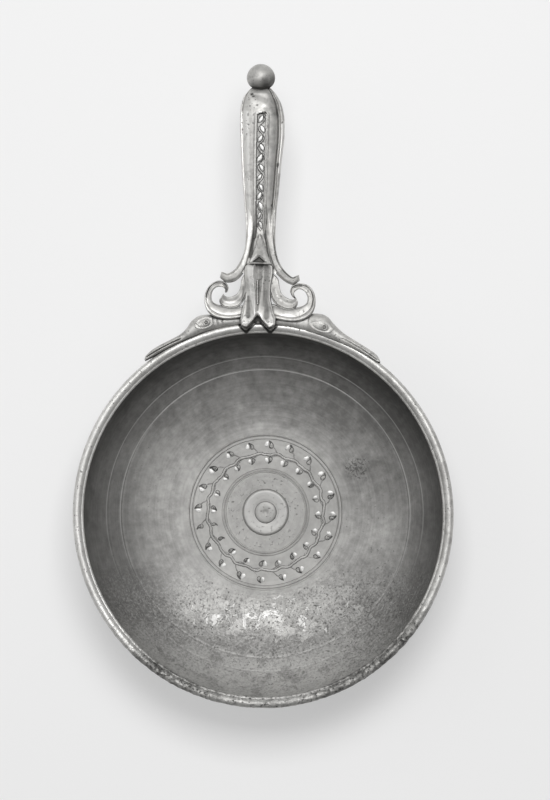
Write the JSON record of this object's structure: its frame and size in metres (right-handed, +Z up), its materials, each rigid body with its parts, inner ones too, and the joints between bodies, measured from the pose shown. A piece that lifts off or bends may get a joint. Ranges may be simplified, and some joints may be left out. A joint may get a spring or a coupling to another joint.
{
  "type": "patera",
  "caption": "Shallow round bronze bowl on a foot ring, with a long horizontal handle, swan-head rim clasp, end knob and inlaid ivy scroll.",
  "frame": {"origin": "centre of the foot ring, on the plane that the bowl rests on", "axes": "+Z up, out of the bowl's mouth; +Y along the handle, away from the bowl; +X to the right seen from above with the handle at the top"},
  "size_m": [0.202, 0.3384, 0.0612],
  "materials": {
    "bowl_bronze": "worn, turned, pitted and mottled in places",
    "cast_bronze": "satin, polished by handling on the high places",
    "silver": "satin, worn",
    "dark_inlay": "dull black inlay",
    "soft_solder": "dull grey"
  },
  "bodies": {
    "root": {"bowl": "bowl_bronze", "handle": "cast_bronze", "swan_clasp": "cast_bronze", "knob": "cast_bronze", "rim_solder": "soft_solder", "handle_solder": "soft_solder", "outer_silver_leaves": "silver", "inner_silver_leaves": "silver", "outer_dark_leaves": "dark_inlay", "inner_dark_leaves": "dark_inlay", "ivy_stem": "dark_inlay", "grip_silver_leaves": "silver", "grip_vine": "dark_inlay"}
  },
  "joints": []
}
